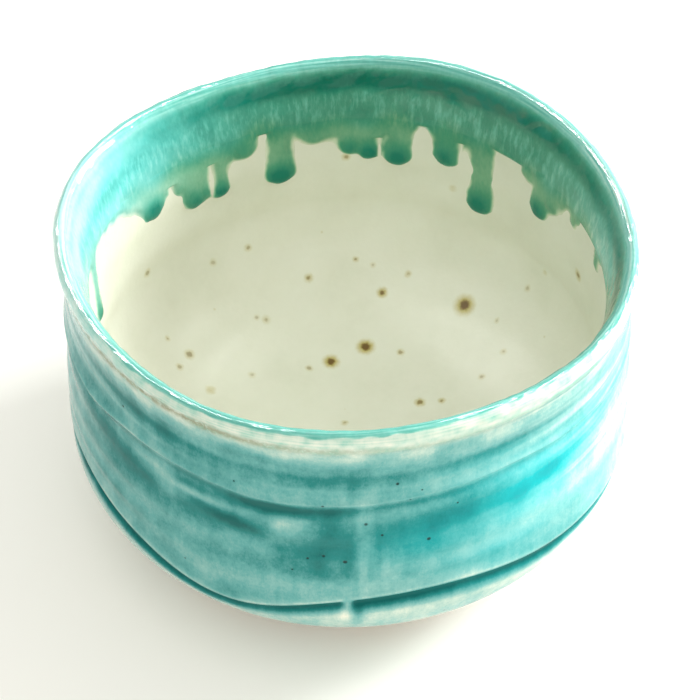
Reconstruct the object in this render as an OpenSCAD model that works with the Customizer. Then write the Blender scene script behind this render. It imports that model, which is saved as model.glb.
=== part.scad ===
// Matcha bowl: a thrown clay body, pressed a little out of round by hand, on an attached
// foot ring. A cream liner glaze covers the inside and a turquoise coat the outside. The
// rim was dipped again, and that coat has run down the inside in tongues.
// The origin is the centre of the resting face. +Z is up and -Y is the front.

/* [Bowl] */
// Diameter over the glazed lip
rim_d = 121; // [112:1:128]
// Height of the glazed lip above the resting face
bowl_h = 75; // [72:1:80]
// Thickness of the glazed lip
lip_t = 3.8; // [3.4:0.1:5]
// Height of the glazed floor inside, at its lowest
floor_z = 13.6; // [12.6:0.2:16]
// Radius of the inside half way up, on the clay
inside_r = 54.3; // [52:0.1:55.5]

/* [Marks of the wheel] */
// Height of the sharp throwing ridge round the outside
ridge_z = 56.3; // [50:0.1:62]
// How far the ridge stands out
ridge_h = 0.8; // [0:0.1:1.5]
// Height of the turned groove round the hip
hip_z = 26; // [24:0.1:28]
// Depth of the hip groove
groove_d = 0.9; // [0:0.1:1.5]
// How far the wall draws in under the lip
neck_in = 1.5; // [0:0.1:2.5]

/* [Foot] */
// Outer diameter of the foot ring where it meets the body
foot_d = 62; // [54:1:70]
// Height of the foot ring
foot_h = 6.5; // [5.5:0.1:8]
// Width of the foot ring where it meets the body
foot_t = 7; // [5:0.1:9]

/* [Hand shaping] */
// Fourfold wave in the plan, out and in
square_amp = 1.0; // [0:0.1:2]
// Threefold wave in the plan
three_amp = 0.4; // [0:0.1:1]
// Twofold wave in the plan
oval_amp = 0.3; // [0:0.1:1.5]
// Rise and fall of the lip, once round
rim_sway = 1.1; // [0:0.1:2]
// Rise and fall of the lip, twice round
rim_saddle = 1.1; // [0:0.1:2]
// Rise and fall of the lip, three times round
rim_ripple = 1.3; // [0:0.1:2]
// Rise and fall of the hip groove, once round
hip_sway = 0.5; // [0:0.1:2]
// Rise and fall of the hip groove, twice round
hip_saddle = 2.0; // [0:0.1:2.5]
// How far the hip groove sags in one place, left of the front
hip_dip = 6; // [0:0.5:7]
// How far the hip groove climbs in one place, at the left
hip_lift = 3.6; // [0:0.2:4]
// How far the hip groove climbs right of the front
hip_swell = 1.3; // [0:0.1:3]

/* [Glaze] */
// Thickness of the cream liner glaze
liner_t = 0.4; // [0.3:0.05:0.6]
// Thickness of the turquoise coats, outside and over the rim
coat_t = 0.6; // [0.4:0.05:0.8]
// How far the glaze runs stand proud of the liner
run_t = 1.3; // [0.8:0.1:1.8]
// Share of the belly, from foot to hip, that is left bare
bare_share = 0.25; // [0.125:0.125:0.5]

/* [Facets] */
// Steps round the bowl
sides = 72; // [48:12:84]

/* [Hidden] */

step = 360 / sides;
lip_r = rim_d / 2 - coat_t;
lip_clay_t = lip_t - 2 * coat_t - liner_t;
lip_rise = 1.6;
lip_z = bowl_h - coat_t - lip_rise;
seat_r = foot_d / 2 + 1.5;
recess_r = foot_d / 2 - foot_t;
recess_rise = 1.4;
hip_r = lip_r + 0.2;
groove_w = 1.2;
ridge_w = 2;
foot_r = foot_d / 2;
foot_taper = 1.2;
foot_chamfer = 1.2;
floor_flat_r = 14;
floor_top_z = 37;
belly_steps = 8;
floor_steps = 8;
lip_steps = 3;

// Angles at which each wave is highest, counted from +X
SQUARE_TURN = -12;
THREE_TURN = 33;
OVAL_TURN = 93;
RIM_SWAY_TURN = 205;
RIM_SADDLE_TURN = 60;
RIM_RIPPLE_TURN = 34;
HIP_SWAY_TURN = 207;
HIP_SADDLE_TURN = 79;
// Angle at which the groove sags, and how many degrees the sag reaches to each side
DIP_TURN = 245;
DIP_REACH = 18;
// The same for its climb at the left and right of the front
LIFT_TURN = 197;
LIFT_REACH = 17;
SWELL_TURN = 290;
SWELL_REACH = 16;
// Reach of the hip's rise and fall, above and below the groove
HIP_REACH = 16;

// Runs down the inside: step round at which each starts, its width in steps, its length in rows
RUNS = [
    [2, 1, 2], [7, 1, 2], [11, 1, 4], [13, 1, 2], [15, 1, 3], [17, 1, 2], [21, 1, 3],
    [24, 1, 3], [26, 1, 3], [28, 1, 2], [34, 1, 4], [39, 1, 2], [44, 1, 3], [50, 1, 2], [57, 1, 2], [63, 1, 3]
];
// Rows of the inside wall, and how many of them the rim's coat covers under the lip
INNER_ROWS = 9;
RIM_ROWS = 4;

function clamp(x) = max(0, min(1, x));
function wave(amp, folds, turn, a) = amp * cos(folds * (a - turn));

// How far hand shaping moves the wall out at the lip, at angle a
function pushed_out(a) =
    wave(oval_amp, 2, OVAL_TURN, a) + wave(three_amp, 3, THREE_TURN, a)
    + wave(square_amp, 4, SQUARE_TURN, a);

// Height that the lip gains at angle a
function rim_rise(a) =
    wave(rim_sway, 1, RIM_SWAY_TURN, a) + wave(rim_saddle, 2, RIM_SADDLE_TURN, a)
    + wave(rim_ripple, 3, RIM_RIPPLE_TURN, a);

// Height that the groove gains at angle a
function hip_rise(a) =
    wave(hip_sway, 1, HIP_SWAY_TURN, a) + wave(hip_saddle, 2, HIP_SADDLE_TURN, a)
    - hip_dip * exp(-pow((a - DIP_TURN) / DIP_REACH, 2))
    + hip_lift * exp(-pow((a - LIFT_TURN) / LIFT_REACH, 2))
    + hip_swell * exp(-pow((a - SWELL_TURN) / SWELL_REACH, 2));

function hip_share(z) = pow(cos(90 * clamp(abs(z - hip_z) / HIP_REACH)), 2);
function rim_share(z) = pow(clamp((z - hip_z) / (bowl_h - hip_z)), 2);
function push_share(z) = clamp((z - foot_h) / (bowl_h - foot_h));

// Radius of the outside of the clay without its marks: a quarter of an ellipse under the
// hip, and above it a wall that draws in under the lip
function body_r(z) =
    let (under = clamp((hip_z - z) / (hip_z - foot_h)), over = clamp((z - hip_z) / (lip_z - hip_z)))
    z < hip_z
    ? seat_r + (hip_r - seat_r) * sqrt(1 - under * under)
    : hip_r - neck_in * sin(180 * pow(over, 2.4)) - (hip_r - lip_r) * over;

// Point of the bowl at angle a from a point p of the true section: its radius, its height,
// and its share of the groove's rise, which is 1 outside and 0 inside. The groove climbs and
// sags along the body, so the body's own radius stays true to the height
function place(p, a) =
    let (
        climb = p[2] * hip_rise(a) * hip_share(p[1]),
        r = p[0] + body_r(p[1] + climb) - body_r(p[1]) + pushed_out(a) * push_share(p[1]),
        z = p[1] + climb + rim_rise(a) * rim_share(p[1])
    )
    [r * cos(a), r * sin(a), z];

// Part of an ellipse about c, from angle q0 to q1, counted from straight down
function ellipse(c, a, b, q0, q1, n) =
    [for (i = [0:n]) let (q = q0 + (q1 - q0) * i / n) c + [a * sin(q), -b * cos(q)]];

// A mark that is full at height at and gone at a distance of w
function tent(z, at, w) = max(0, 1 - abs(z - at) / w);

// Radius of the outside of the clay wall with its ridge and groove
function wall_r(z) =
    body_r(z) + ridge_h * tent(z, ridge_z, ridge_w) - groove_d * tent(z, hip_z, groove_w);

function levels(z0, z1, n) = [for (i = [0:n]) z0 + (z1 - z0) * i / n];

lip_c = [lip_r - lip_clay_t / 2, lip_z];

// Sections of the clay, each from the foot or floor up to the lip
under_rows = [[recess_r / 2, foot_h + recess_rise], [recess_r, foot_h]];
belly_rows = ellipse(
    [seat_r, hip_z], hip_r - seat_r, hip_z - foot_h,
    0, acos(groove_w / (hip_z - foot_h)), belly_steps
);
wall_rows = [
    for (z = concat([hip_z], levels(hip_z + groove_w, ridge_z - ridge_w, 4), [ridge_z],
        levels(ridge_z + ridge_w, lip_z, 3)))
    [wall_r(z), z]
];
lip_out_rows = [
    for (i = [1:lip_steps]) let (q = 90 * i / lip_steps)
    lip_c + [lip_clay_t / 2 * cos(q), lip_rise * sin(q)]
];
outside = [for (p = concat(under_rows, belly_rows, wall_rows, lip_out_rows)) [p[0], p[1], 1]];

floor_rows = ellipse(
    [floor_flat_r, floor_top_z], inside_r - floor_flat_r, floor_top_z - floor_z + liner_t,
    0, 90, floor_steps
);
inner_wall_rows = [
    for (i = [1:INNER_ROWS]) let (v = i / INNER_ROWS)
    [inside_r + (lip_r - lip_clay_t - inside_r) * pow(v, 4), floor_top_z + (lip_z - floor_top_z) * v]
];
lip_in_rows = [
    for (i = [1:lip_steps - 1]) let (q = 90 * i / lip_steps)
    lip_c + [-lip_clay_t / 2 * cos(q), lip_rise * sin(q)]
];
inside = [for (p = concat(floor_rows, inner_wall_rows, lip_in_rows)) [p[0], p[1], 0]];

// Numbers of the rows where the coats begin and end
first_glazed = len(under_rows) + round(bare_share * belly_steps);
coat_top = len(outside) - lip_steps - 2;
liner_top = len(floor_rows) + len(inner_wall_rows) - 1;
rim_low = liner_top - RIM_ROWS;

// Row i of a section, moved t out of the clay. Side is 1 for the outside and -1 for the inside
function lifted(rows, i, t, side) =
    let (d = rows[min(i + 1, len(rows) - 1)] - rows[max(i - 1, 0)])
    rows[i] + t * side * [d[1], -d[0], 0] / norm(d);

function part_of(rows, first, last) = [for (i = [first:last]) rows[i]];

// The clay is three solids, one above the other. They part at the groove and at the foot's seat,
// where the cuts run in to rows of the floor's curve
hip_row = len(under_rows) + len(belly_rows);
seat_row = len(under_rows);
HIP_CUT = 6;
SEAT_CUT = 2;
liner_face = [for (i = [0:liner_top]) lifted(inside, i, i == liner_top ? 0 : liner_t, -1)];

// Points of a list of rows, a ring of them for each
function rings(rows) = [for (p = rows, j = [0:sides - 1]) place(p, j * step)];

// Two triangles for each step round between rings a and b. Back turns them over
function strip(a, b, back = false) = [
    for (j = [0:sides - 1])
    let (k = (j + 1) % sides, p = a * sides + j, q = a * sides + k, r = b * sides + j, s = b * sides + k)
    each back ? [[p, q, s], [p, s, r]] : [[p, s, q], [p, r, s]]
];
function strips(first, last, back = false) = [for (i = [first:last - 1]) each strip(i, i + 1, back)];

// Triangles that close ring a onto the point numbered tip
function fan(a, tip, back = false) = [
    for (j = [0:sides - 1])
    let (p = a * sides + j, q = a * sides + (j + 1) % sides)
    back ? [tip, q, p] : [tip, p, q]
];

// A coat of thickness t on rows first to last of a section, feathered at both ends
module coat(rows, first, last, t, side) {
    n = last - first + 1;
    front = [for (i = [first + 1:last - 1]) lifted(rows, i, t, side)];
    out = side < 0;
    polyhedron(
        rings(concat(part_of(rows, first, last), front)),
        concat(
            strips(0, n - 1, !out),
            strip(0, n, out),
            strips(n, 2 * n - 3, out),
            strip(2 * n - 3, n - 1, out)
        )
    );
}

// A ring of clay between rows o0 to o1 of the outside and rows i0 to i1 of the inside
module clay_ring(o0, o1, i0, i1) {
    n = o1 - o0 + 1;
    m = i1 - i0 + 1;
    polyhedron(
        rings(concat(part_of(outside, o0, o1), part_of(inside, i0, i1))),
        concat(
            strips(0, n - 1),
            strips(n, n + m - 1, true),
            strip(n - 1, n + m - 1),
            strip(0, n, true)
        )
    );
}

module clay_wall() {
    color("peru")
    clay_ring(hip_row, len(outside) - 1, HIP_CUT, len(inside) - 1);
}

module clay_belly() {
    color("sienna")
    clay_ring(seat_row, hip_row, SEAT_CUT, HIP_CUT);
}

module clay_floor() {
    n = seat_row + 1;
    m = SEAT_CUT + 1;
    tips = (n + m) * sides;
    color("chocolate")
    polyhedron(
        concat(
            rings(concat(part_of(outside, 0, seat_row), part_of(inside, 0, SEAT_CUT))),
            [[0, 0, foot_h + recess_rise], [0, 0, inside[0][1]]]
        ),
        concat(
            strips(0, n - 1),
            strips(n, n + m - 1, true),
            strip(n - 1, n + m - 1),
            fan(0, tips),
            fan(n, tips + 1, true)
        )
    );
}

module foot_ring() {
    color("burlywood")
    rotate_extrude($fn = 96)
    polygon([
        [recess_r, foot_h],
        [recess_r + foot_chamfer, foot_chamfer],
        [recess_r + 2 * foot_chamfer, 0],
        [foot_r - foot_taper - foot_chamfer, 0],
        [foot_r - foot_taper, foot_chamfer],
        [foot_r, foot_h]
    ]);
}

module liner_glaze() {
    n = liner_top + 1;
    tips = (2 * n - 1) * sides;
    color("ivory")
    polyhedron(
        concat(
            rings(concat(part_of(inside, 0, liner_top), part_of(liner_face, 0, liner_top - 1))),
            [[0, 0, inside[0][1]], [0, 0, liner_face[0][1]]]
        ),
        concat(
            strips(0, n - 1),
            fan(0, tips),
            strips(n, 2 * n - 2, true),
            strip(2 * n - 2, n - 1, true),
            fan(n, tips + 1, true)
        )
    );
}

module outer_glaze() {
    color("mediumturquoise")
    coat(outside, first_glazed, coat_top, coat_t, 1);
}

// The rim's coat lies on the liner inside, on the clay over the lip and down to the outer coat
module rim_glaze() {
    in_back = concat(part_of(liner_face, rim_low, liner_top), part_of(inside, liner_top + 1, len(inside) - 1));
    out_back = part_of(outside, coat_top, len(outside) - 1);
    n = len(in_back);
    m = len(out_back);
    in_front = [for (i = [1:n - 1]) lifted(in_back, i, coat_t, -1)];
    out_front = [for (i = [1:m - 1]) lifted(out_back, i, coat_t, 1)];
    in_first = n + m;
    out_first = 2 * n + m - 1;
    color("lightseagreen")
    polyhedron(
        rings(concat(in_back, out_back, in_front, out_front)),
        concat(
            strips(0, n - 1),
            strips(n, n + m - 1, true),
            strip(n + m - 1, n - 1, true),
            strip(0, in_first, true),
            strips(in_first, in_first + n - 2, true),
            strip(n, out_first),
            strips(out_first, out_first + m - 2),
            strip(out_first + m - 2, in_first + n - 2)
        )
    );
}

// One run: it starts at the rim coat's lower edge and lies on the liner's own facets,
// wide steps round and rows down, with a raised line along its middle
module glaze_run(start, wide, rows) {
    cols = wide + 1;
    low = rim_low - rows;
    skin = [
        for (i = [low:rim_low], j = [start:start + wide]) place(liner_face[i], j * step)
    ];
    crest = [
        for (i = [low + 1:rim_low - 1])
        place(lifted(liner_face, i, i == low + 1 ? run_t : run_t / 2, -1), (start + wide / 2) * step)
    ];
    tips = cols * (rows + 1);
    function mid(i) = tips + max(0, min(rows - 2, i - 1));
    polyhedron(
        concat(skin, crest),
        concat(
            [
                for (i = [0:rows - 1], j = [0:wide - 1])
                let (p = i * cols + j, q = p + 1, r = p + cols, s = r + 1)
                each [[p, s, q], [p, r, s]]
            ],
            [for (j = [0:wide - 1]) [j, j + 1, mid(0)]],
            [for (j = [0:wide - 1]) let (p = rows * cols + j) [p + 1, p, mid(rows)]],
            [
                for (i = [0:rows - 1])
                let (p = i * cols, q = p + wide)
                each concat(
                    [[p + cols, p, mid(i + 1)], [q, q + cols, mid(i + 1)]],
                    mid(i) == mid(i + 1) ? [] : [[p, mid(i), mid(i + 1)], [mid(i), q, mid(i + 1)]]
                )
            ]
        )
    );
}

module glaze_runs() {
    color("seagreen")
    for (run = RUNS)
        glaze_run(run[0], run[1], run[2]);
}

clay_wall();
clay_belly();
clay_floor();
foot_ring();
liner_glaze();
outer_glaze();
rim_glaze();
glaze_runs();
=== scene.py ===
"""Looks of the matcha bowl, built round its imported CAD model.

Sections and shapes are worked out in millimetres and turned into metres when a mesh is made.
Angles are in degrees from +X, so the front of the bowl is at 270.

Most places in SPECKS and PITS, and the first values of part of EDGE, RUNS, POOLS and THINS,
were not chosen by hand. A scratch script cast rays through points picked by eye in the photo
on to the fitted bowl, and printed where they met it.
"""

import math

import bpy
import numpy as np
from mathutils import Matrix, Vector


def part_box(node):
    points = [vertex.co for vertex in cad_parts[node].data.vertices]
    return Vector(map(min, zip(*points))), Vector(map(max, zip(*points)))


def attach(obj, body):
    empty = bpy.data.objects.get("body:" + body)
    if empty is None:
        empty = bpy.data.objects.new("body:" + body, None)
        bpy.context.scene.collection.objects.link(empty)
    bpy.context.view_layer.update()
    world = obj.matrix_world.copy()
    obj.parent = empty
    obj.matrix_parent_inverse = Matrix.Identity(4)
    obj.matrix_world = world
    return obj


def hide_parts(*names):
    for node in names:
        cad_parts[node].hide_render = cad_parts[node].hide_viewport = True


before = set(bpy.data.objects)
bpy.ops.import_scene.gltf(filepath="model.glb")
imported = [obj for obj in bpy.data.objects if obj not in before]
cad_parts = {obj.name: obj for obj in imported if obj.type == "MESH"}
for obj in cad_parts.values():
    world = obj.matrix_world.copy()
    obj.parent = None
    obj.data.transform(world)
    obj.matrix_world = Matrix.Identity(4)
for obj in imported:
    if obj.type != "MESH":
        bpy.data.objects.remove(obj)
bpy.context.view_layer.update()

MM = 0.001

# ---------------------------------------------------------------- the bowl's own dimensions

FOOT_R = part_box("foot_ring")[1][0] / MM
FOOT_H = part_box("foot_ring")[1][2] / MM
RIM_R = 60.5  # lip, over the glaze
BOWL_H = 75.0  # average height of the lip
LIP_T = 3.8
FLOOR_Z = 13.6  # face of the liner in the middle
INSIDE_R = 54.3  # clay inside, half way up
RIDGE_Z = 56.3  # throwing ridge
HIP_Z = 26.0  # turned groove, and the widest part of the belly
NECK_IN = 1.5  # how far the wall is drawn in under the lip
FOOT_T = 7.0  # width of the foot ring
LINER_T = 0.4
COAT_T = 0.6
FLOOR_FLAT_R = 14.0
FLOOR_TOP_Z = 37.0  # where the floor's curve meets the wall
RECESS_RISE = 1.4  # how far the recess in the foot rises towards the middle
LIP_RISE = 1.6
HIP_REACH = 16.0  # how far up and down the groove's own rise is felt

LIP_R = RIM_R - COAT_T
LIP_CLAY_T = LIP_T - 2 * COAT_T - LINER_T
LIP_Z = BOWL_H - COAT_T - LIP_RISE
SEAT_R = FOOT_R + 1.5
RECESS_R = FOOT_R - FOOT_T
HIP_R = LIP_R + 0.2
GLAZE_LINE_Z = 8.7
# The outside coat meets the rim's coat at TAN_Z, and the rim's coat meets the runs at SEAM_Z
TAN_Z = 70.2
SEAM_Z = 60.5
# The sheets that reach the axis end in a ring of this radius, which a flat face closes
CENTRE_R = 0.6
# Depth inside a coat's outline at which its edge is no longer felt
WELL_INSIDE = 4.0
# Where the turned groove breaks off for a moment, and half the width of the gap, in degrees
GAP_TURN = 269.4
GAP_HALF = 1.6


def clamp(x):
    return np.clip(x, 0.0, 1.0)


def smooth(x):
    x = clamp(x)
    return x * x * (3 - 2 * x)


def wave(amp, folds, turn, a):
    return amp * np.cos(np.radians(folds * (a - turn)))


def turned(a, centre):
    """Degrees from centre to a, the short way round."""
    return (a - centre + 180) % 360 - 180


def hump(x, middle, width):
    """A soft bump along x: 1 at middle, and all but gone at twice width from it."""
    return np.exp(-((x - middle) / width) ** 2)


def facing(a, centre, width):
    """The same bump round the bowl, in degrees."""
    return np.exp(-(turned(a, centre) / width) ** 2)


def pushed_out(a):
    """How far the hand pressed the lip out of round."""
    return wave(0.3, 2, 93, a) + wave(0.4, 3, 33, a) + wave(1.0, 4, -12, a)


def rim_rise(a):
    return wave(1.1, 1, 205, a) + wave(1.1, 2, 60, a) + wave(1.3, 3, 34, a)


def hip_rise(a):
    """Rise and sag of the turned groove."""
    sag = 6 * facing(a, 245, 18)
    climb = 3.6 * facing(a, 197, 17) + 1.3 * facing(a, 290, 16)
    return wave(0.5, 1, 207, a) + wave(2.0, 2, 79, a) - sag + climb


def body_r(z):
    """Outside of the clay without its marks."""
    under = clamp((HIP_Z - z) / (HIP_Z - FOOT_H))
    over = clamp((z - HIP_Z) / (LIP_Z - HIP_Z))
    belly = SEAT_R + (HIP_R - SEAT_R) * np.sqrt(1 - under**2)
    wall = HIP_R - NECK_IN * np.sin(math.pi * over**2.4) - (HIP_R - LIP_R) * over
    return np.where(z < HIP_Z, belly, wall)


def shaped(r, z, lift, side, a):
    """Points of the bowl: section rows r, z moved out of the clay by lift, at angles a.

    side is 1 on the outside, whose surface follows the groove's rise, and 0 inside.
    """
    dr, dz = np.gradient(r), np.gradient(z)
    length = np.hypot(dr, dz)
    nr, nz = (dz / length)[:, None], (-dr / length)[:, None]
    r, z = r[:, None], z[:, None]
    share = np.cos(math.pi / 2 * clamp(np.abs(z - HIP_Z) / HIP_REACH)) ** 2
    climb = side * hip_rise(a) * share
    push = pushed_out(a) * clamp((z - FOOT_H) / (BOWL_H - FOOT_H))
    rise = rim_rise(a) * clamp((z - HIP_Z) / (BOWL_H - HIP_Z)) ** 2
    radius = r + nr * lift + side * (body_r(z + climb) - body_r(z)) + push
    height = z + nz * lift + climb + rise
    angle = np.radians(a)
    return np.stack([radius * np.cos(angle), radius * np.sin(angle), height], axis=-1)


# ---------------------------------------------------------------- sections, as rows of r and z


def lip_arc(q0, q1, n):
    """Half of an ellipse over the lip's clay, from q0 to q1 degrees, 0 being the outside."""
    q = np.radians(np.linspace(q0, q1, n))
    half = LIP_CLAY_T / 2
    return LIP_R - half + half * np.cos(q), LIP_Z + LIP_RISE * np.sin(q)


def inner_r(z):
    """Inside of the clay wall, above the floor's curve."""
    up = clamp((z - FLOOR_TOP_Z) / (LIP_Z - FLOOR_TOP_Z))
    return INSIDE_R + (LIP_R - LIP_CLAY_T - INSIDE_R) * up**4


def inner_section(z_top, wall_step, floor_steps):
    """Rows down the inside of the clay from z_top to the middle of the floor."""
    z = np.linspace(z_top, FLOOR_TOP_Z, int((z_top - FLOOR_TOP_Z) / wall_step) + 2)
    q = np.radians(np.linspace(90, 0, floor_steps))[1:]
    floor_r = FLOOR_FLAT_R + (INSIDE_R - FLOOR_FLAT_R) * np.sin(q)
    floor_z = FLOOR_TOP_Z - (FLOOR_TOP_Z - FLOOR_Z + LINER_T) * np.cos(q)
    flat_r = np.linspace(FLOOR_FLAT_R, CENTRE_R, 14)[1:]
    r = np.concatenate([inner_r(z), floor_r, flat_r])
    return r, np.concatenate([z, floor_z, np.full(len(flat_r), floor_z[-1])])


# ---------------------------------------------------------------- soft random fields


def swirl(a, y, seed, folds, pitch, count=24):
    """Smooth noise of about unit size over angle a and distance y.

    folds is the range of waves round the bowl, and pitch the range of wavelengths along y.
    """
    rng = np.random.default_rng(seed)
    total = np.zeros(np.broadcast(a, y).shape)
    for _ in range(count):
        k = rng.integers(folds[0], folds[1] + 1)
        m = 2 * math.pi / rng.uniform(*pitch) * rng.choice([-1, 1])
        total += np.cos(np.radians(k * a) + m * y + rng.uniform(0, 2 * math.pi))
    return total * math.sqrt(2 / count)


def path(a, stops):
    """Smooth curve through stops of (angle, value), flat at each of them."""
    angles, values = (np.array(column, float) for column in zip(*stops))
    a = np.asarray(a) % 360
    i = np.clip(np.searchsorted(angles, a, "right") - 1, 0, len(angles) - 2)
    share = smooth((a - angles[i]) / (angles[i + 1] - angles[i]))
    return values[i] + (values[i + 1] - values[i]) * share


def blobs(a, z, places):
    """Sum of soft spots, each (angle, height, half width in degrees, half height, amount)."""
    total = np.zeros(np.broadcast(a, z).shape)
    for angle, height, wide, tall, amount in places:
        total += amount * np.exp(-(turned(a, angle) / wide) ** 2 - ((z - height) / tall) ** 2)
    return total


# ---------------------------------------------------------------- meshes


def ring_quads(rows, cols, first=0):
    i, j = np.meshgrid(np.arange(rows - 1), np.arange(cols), indexing="ij")
    k = (j + 1) % cols
    quads = np.stack([i * cols + j, i * cols + k, (i + 1) * cols + k, (i + 1) * cols + j], -1)
    return quads.reshape(-1, 4) + first


def make_piece(name, points, faces, fields, material, nodes, sharp=()):
    """A mesh piece of points in mm, with a float attribute for each of fields."""
    mesh = bpy.data.meshes.new(name)
    mesh.from_pydata((np.asarray(points) * MM).tolist(), [], [list(f) for f in faces])
    for key, values in fields.items():
        layer = mesh.attributes.new(key, "FLOAT", "POINT")
        layer.data.foreach_set("value", np.asarray(values, np.float32).ravel())
    mesh.shade_smooth()
    if len(sharp):
        marked = np.zeros(len(points), bool)
        marked[list(sharp)] = True
        ends = np.empty(len(mesh.edges) * 2, np.int32)
        mesh.edges.foreach_get("vertices", ends)
        layer = mesh.attributes.new("sharp_edge", "BOOLEAN", "EDGE")
        layer.data.foreach_set("value", marked[ends.reshape(-1, 2)].all(axis=1))
    mesh.materials.append(material)
    piece = bpy.data.objects.new(name, mesh)
    bpy.context.collection.objects.link(piece)
    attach(piece, "root")
    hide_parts(*nodes)
    return piece


def coat(front, back):
    """Closed shell from two sheets of rings, whose rows run the same way.

    Returns its points, its faces and the vertices of both sheets' end rings.
    """
    rows, cols = front.shape[:2]
    deep = back.shape[0]
    first = rows * cols
    faces = [ring_quads(rows, cols), ring_quads(deep, cols, first)[:, ::-1]]
    j = np.arange(cols)
    k = (j + 1) % cols
    faces.append(np.stack([j, first + j, first + k, k], -1))
    top, base = (rows - 1) * cols, first + (deep - 1) * cols
    faces.append(np.stack([top + j, top + k, base + k, base + j], -1))
    points = np.concatenate([front.reshape(-1, 3), back.reshape(-1, 3)])
    ends = np.concatenate([j, top + j, first + j, base + j])
    return points, np.concatenate(faces), ends


def padded_fields(count, **fields):
    """Each field continued with its mean over the hidden back of a shell."""
    out = {}
    for key, values in fields.items():
        values = np.asarray(values).ravel()
        out[key] = np.concatenate([values, np.full(count - len(values), values.mean())])
    return out


# ---------------------------------------------------------------- materials


def srgb(r, g, b):
    """Linear colour of an sRGB one, given from 0 to 255."""
    def line(c):
        c /= 255
        return c / 12.92 if c <= 0.04045 else ((c + 0.055) / 1.055) ** 2.4
    return line(r), line(g), line(b), 1.0


class Graph:
    """Short names for building a material's nodes."""

    def __init__(self, name):
        self.material = bpy.data.materials.new(name)
        self.material.use_nodes = True
        self.tree = self.material.node_tree
        self.tree.nodes.clear()

    def put(self, node, key, value):
        if isinstance(value, bpy.types.NodeSocket):
            self.tree.links.new(value, node.inputs[key])
        elif value is not None:
            node.inputs[key].default_value = value

    def add(self, kind, inputs=(), **settings):
        node = self.tree.nodes.new(kind)
        for key, value in settings.items():
            setattr(node, key, value)
        for key, value in dict(inputs).items():
            self.put(node, key, value)
        return node

    def math(self, operation, a, b=None, c=None):
        node = self.add("ShaderNodeMath", operation=operation)
        for index, value in enumerate((a, b, c)):
            self.put(node, index, value)
        return node.outputs[0]

    def field(self, name):
        return self.add("ShaderNodeAttribute", attribute_name=name).outputs["Fac"]

    def place(self, scale=(1, 1, 1)):
        """The bowl's own coordinates in mm, stretched by scale."""
        where = self.add("ShaderNodeTexCoord").outputs["Object"]
        return self.add(
            "ShaderNodeMapping", {"Vector": where, "Scale": Vector(scale) / MM}
        ).outputs[0]

    def noise(self, size, detail=2.0, rough=0.5, stretch=(1, 1, 1), seed=0.0):
        """Noise with features of about size mm, its middle at 0 and its reach about 1."""
        node = self.add(
            "ShaderNodeTexNoise",
            {"Vector": self.place(stretch), "W": seed, "Scale": 1 / size,
             "Detail": detail, "Roughness": rough},
            noise_dimensions="4D",
        )
        return self.math("MULTIPLY_ADD", node.outputs["Fac"], 4.0, -2.0)

    def ramp(self, factor, stops):
        node = self.add("ShaderNodeValToRGB", {"Fac": factor})
        elements = node.color_ramp.elements
        while len(elements) < len(stops):
            elements.new(0.5)
        for element, (position, colour) in zip(elements, stops):
            element.position = position
            element.color = colour
        return node.outputs["Color"]

    def blend(self, factor, a, b):
        node = self.add("ShaderNodeMix", data_type="RGBA")
        self.put(node, 0, factor)
        self.put(node, 6, a)
        self.put(node, 7, b)
        return node.outputs[2]

    def steps(self, value, low, high):
        """0 below low, 1 above high and smooth between."""
        return self.add(
            "ShaderNodeMapRange",
            {"Value": value, "From Min": low, "From Max": high},
            interpolation_type="SMOOTHSTEP",
        ).outputs["Result"]

    def bump(self, height, strength, distance=0.2, normal=None):
        node = self.add(
            "ShaderNodeBump",
            {"Height": height, "Strength": strength, "Distance": distance * MM},
        )
        self.put(node, "Normal", normal)
        return node.outputs["Normal"]

    def dots(self, spacing, share, radius, seed):
        """Scattered round spots: 1 in the middle of each and 0 outside it."""
        vector = self.place()
        shifted = self.add(
            "ShaderNodeVectorMath", {0: vector, 1: (seed, seed * 2, seed * 3)}, operation="ADD"
        ).outputs[0]
        cells = self.add("ShaderNodeTexVoronoi", {"Vector": shifted, "Scale": 1 / spacing})
        chosen = self.math("LESS_THAN", self.separate(cells.outputs["Color"], "Red"), share)
        away = self.math("MULTIPLY", cells.outputs["Distance"], spacing)
        spot = self.math("SUBTRACT", 1.0, self.steps(away, radius * 0.4, radius))
        return self.math("MULTIPLY", spot, chosen)

    def separate(self, colour, channel):
        return self.add("ShaderNodeSeparateColor", {"Color": colour}).outputs[channel]

    def finish(self, colour, rough, normal, gloss):
        shader = self.add(
            "ShaderNodeBsdfPrincipled",
            {"Base Color": colour, "Roughness": rough, "Normal": normal, "IOR": 1.5,
             "Specular IOR Level": gloss},
        )
        output = self.add("ShaderNodeOutputMaterial")
        self.tree.links.new(shader.outputs[0], output.inputs["Surface"])
        return self.material


def glaze_bump(g, strength=0.5):
    """The slight orange peel and waviness of a fired glaze."""
    waves = g.noise(4.0, 2.0)
    peel = g.noise(0.9, 3.0)
    height = g.math("MULTIPLY_ADD", peel, 0.35, waves)
    return g.bump(height, strength, 0.06)


def thin_over_clay(g, colour):
    """Colour with the clay showing through in patches where the bare field is high."""
    patchy = g.steps(g.noise(0.9, 3.0, 0.7, seed=5.0), -1.4, 0.3)
    return g.blend(g.math("MULTIPLY", g.field("bare"), patchy), colour, srgb(142, 147, 116))


# Pinholes in the outside glaze: angle, height, radius
PITS = [
    (265, 55.6, 0.5), (285, 44.2, 0.55), (273, 50.4, 0.6), (265, 42.1, 0.5), (269, 40.6, 0.6),
    (279, 60.3, 0.45), (226, 51.8, 0.45), (262, 41.2, 0.4), (236, 32.1, 0.45), (276, 47.4, 0.35),
    (281.5, 55.4, 0.35), (291, 51.6, 0.35), (259, 37.6, 0.4), (248, 58.2, 0.35), (219, 60.4, 0.4),
]


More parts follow.
